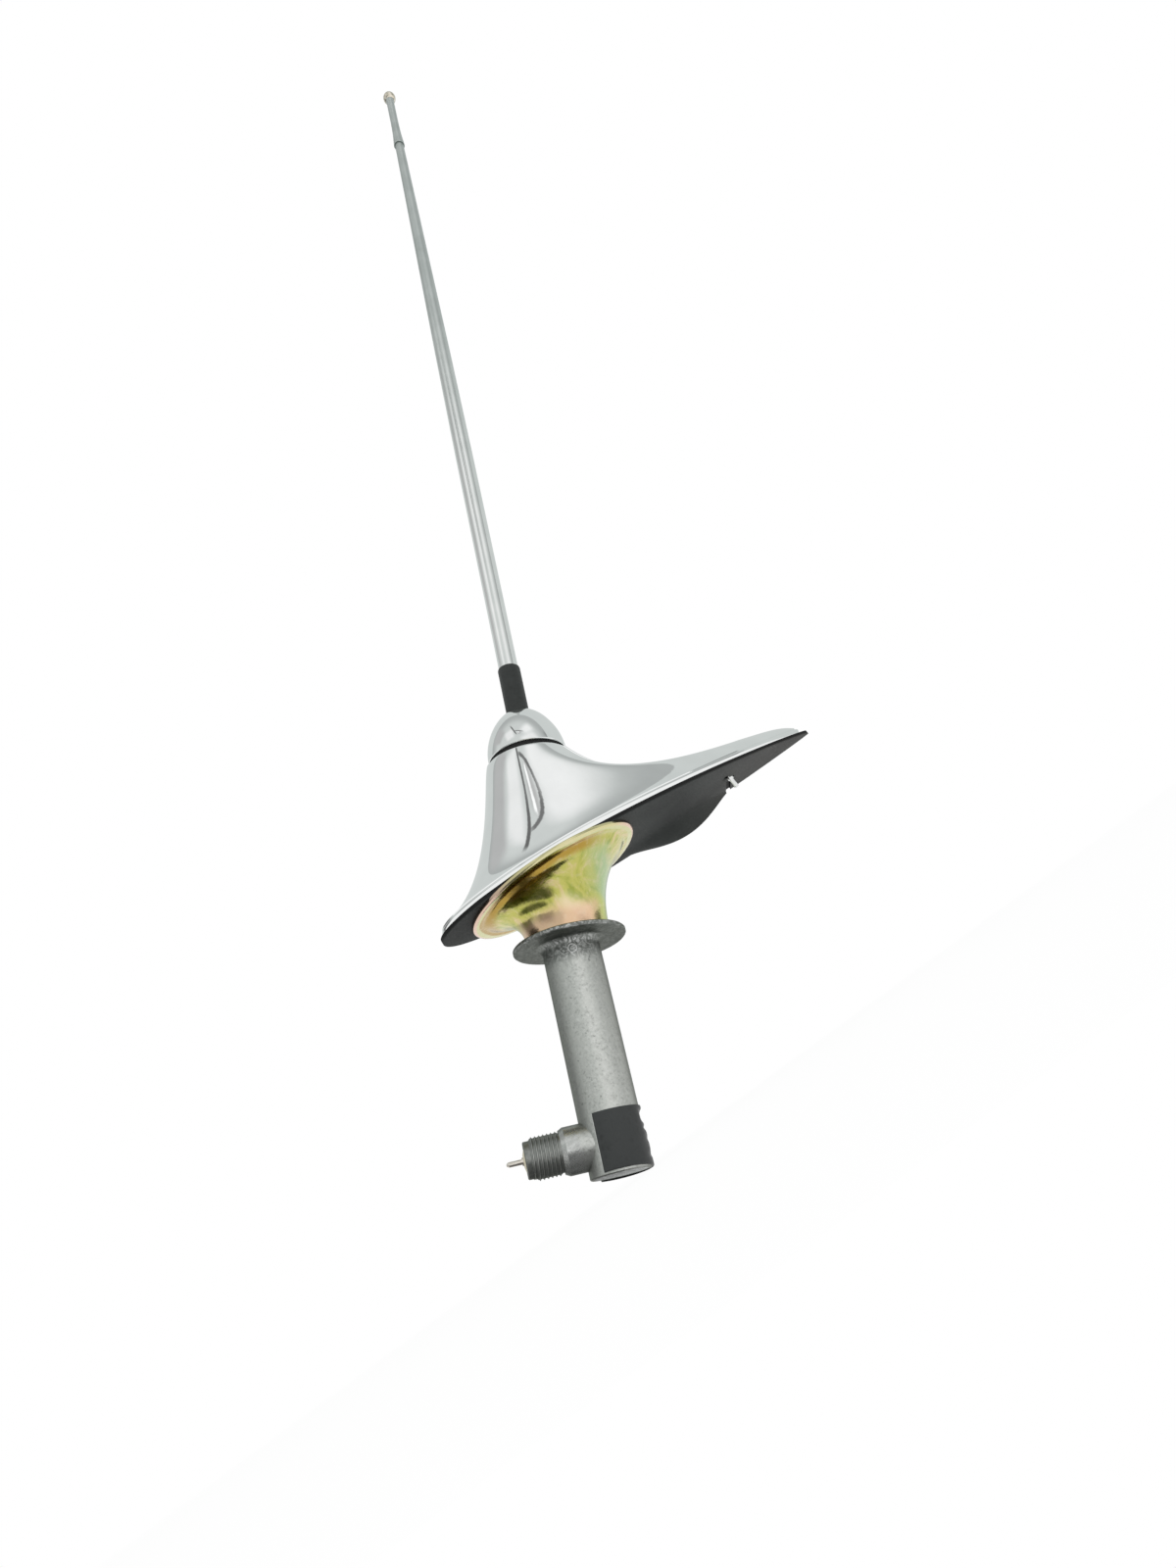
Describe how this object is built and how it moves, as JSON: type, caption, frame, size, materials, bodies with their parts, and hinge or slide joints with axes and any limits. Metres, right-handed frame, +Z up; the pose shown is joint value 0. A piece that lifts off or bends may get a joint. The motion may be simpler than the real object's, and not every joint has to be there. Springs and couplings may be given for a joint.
{
  "type": "car antenna",
  "caption": "Telescopic fender antenna: tapered mast on a chromed teardrop base, with a rubber pad, support cup and cast body with a threaded side connector.",
  "frame": {"origin": "where the axis of the body meets the underside of the rubber pad, on the fender skin", "axes": "+Z up out of the fender skin, +X along the teardrop base to its tail, +Y across the base; the body leans 21.2 degrees from +Z towards +X, and the mast 22 degrees"},
  "size_m": [0.2372, 0.064, 0.525],
  "materials": {
    "cast_zinc": "as-cast zinc, grey and slightly rough",
    "yellow_zinc": "yellow chromate over zinc plate, iridescent",
    "pad_rubber": "matt moulded rubber",
    "chrome": "bright chrome plate",
    "seal_rubber": "matt rubber",
    "sleeve_plastic": "matt black plastic",
    "natural_plastic": "natural moulded plastic",
    "polished_steel": "polished stainless steel",
    "brass": "turned brass",
    "copper": "tinned copper wire",
    "nickel": "bright nickel plate",
    "wrap_black": "dull black wrap",
    "disc_grey": "dull grey zinc",
    "ball_nickel": "warm nickel plate"
  },
  "bodies": {
    "base": {"body_casting": "cast_zinc", "support_cup": "yellow_zinc", "rubber_pad": "pad_rubber", "teardrop_base": "chrome", "nut_seal": "seal_rubber", "cap_nut": "chrome", "insulator_sleeve": "sleeve_plastic", "sleeve_seal": "seal_rubber", "upper_insulator": "natural_plastic", "lower_insulator": "natural_plastic", "mast_tube": "polished_steel", "mast_foot": "brass", "guide_bush": "brass", "lead_wire": "copper", "contact_pin": "nickel", "connector_insulator": "natural_plastic", "window_cover": "wrap_black", "end_disc": "disc_grey"},
    "rod": {"sliding_rod": "polished_steel", "rod_stop": "brass", "tip_cap": "polished_steel", "tip_ball": "ball_nickel"}
  },
  "joints": [
    {"name": "mast_slide", "type": "slide", "parent": "base", "child": "rod", "axis": [0.3746, 0, 0.9272], "range_m": [0, 0.362]}
  ]
}
